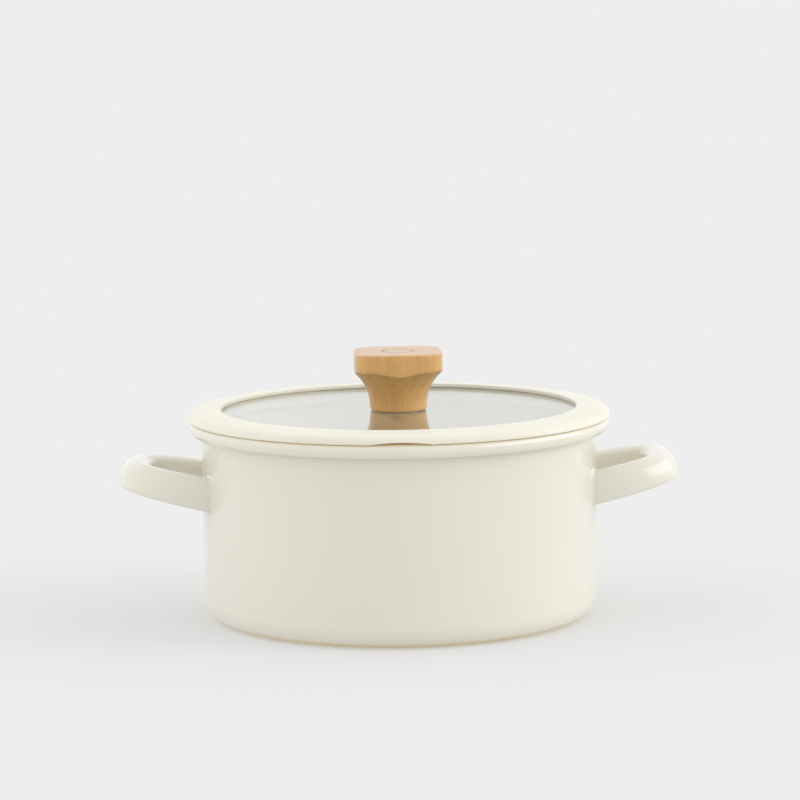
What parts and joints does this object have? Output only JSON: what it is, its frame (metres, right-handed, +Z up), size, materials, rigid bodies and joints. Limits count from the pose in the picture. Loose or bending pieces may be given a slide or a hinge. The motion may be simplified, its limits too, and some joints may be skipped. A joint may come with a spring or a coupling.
{
  "type": "cooking pot",
  "caption": "Straight-walled enamelled steel cooking pot with loop side handles and a lift-off flat glass lid in a silicone ring, with a squared wooden knob.",
  "frame": {"origin": "on the table surface, under the middle of the pot", "axes": "+X through the right-hand handle, +Z up; the lid's steam arch faces -Y"},
  "size_m": [0.2876, 0.2162, 0.1349],
  "materials": {
    "enamel": "glossy vitreous enamel on steel, warm off-white",
    "glass": "clear tempered glass, polished",
    "silicone": "satin food-grade silicone, warm off-white",
    "wood": "oiled beech, smooth",
    "brass": "machined",
    "steel": "bright stainless steel",
    "seal": "translucent white silicone"
  },
  "bodies": {
    "pot": {"pot_body": "enamel", "left_handle": "enamel", "right_handle": "enamel"},
    "lid": {"lid_glass": "glass", "lid_ring": "silicone", "lid_knob": "wood", "knob_insert": "brass", "knob_screw": "steel", "cup_washer": "steel", "screw_gasket": "seal", "knob_seal": "seal"}
  },
  "joints": [
    {"name": "lid_lift", "type": "slide", "parent": "pot", "child": "lid", "axis": [0, 0, 1], "range_m": [0, 0.15]}
  ]
}
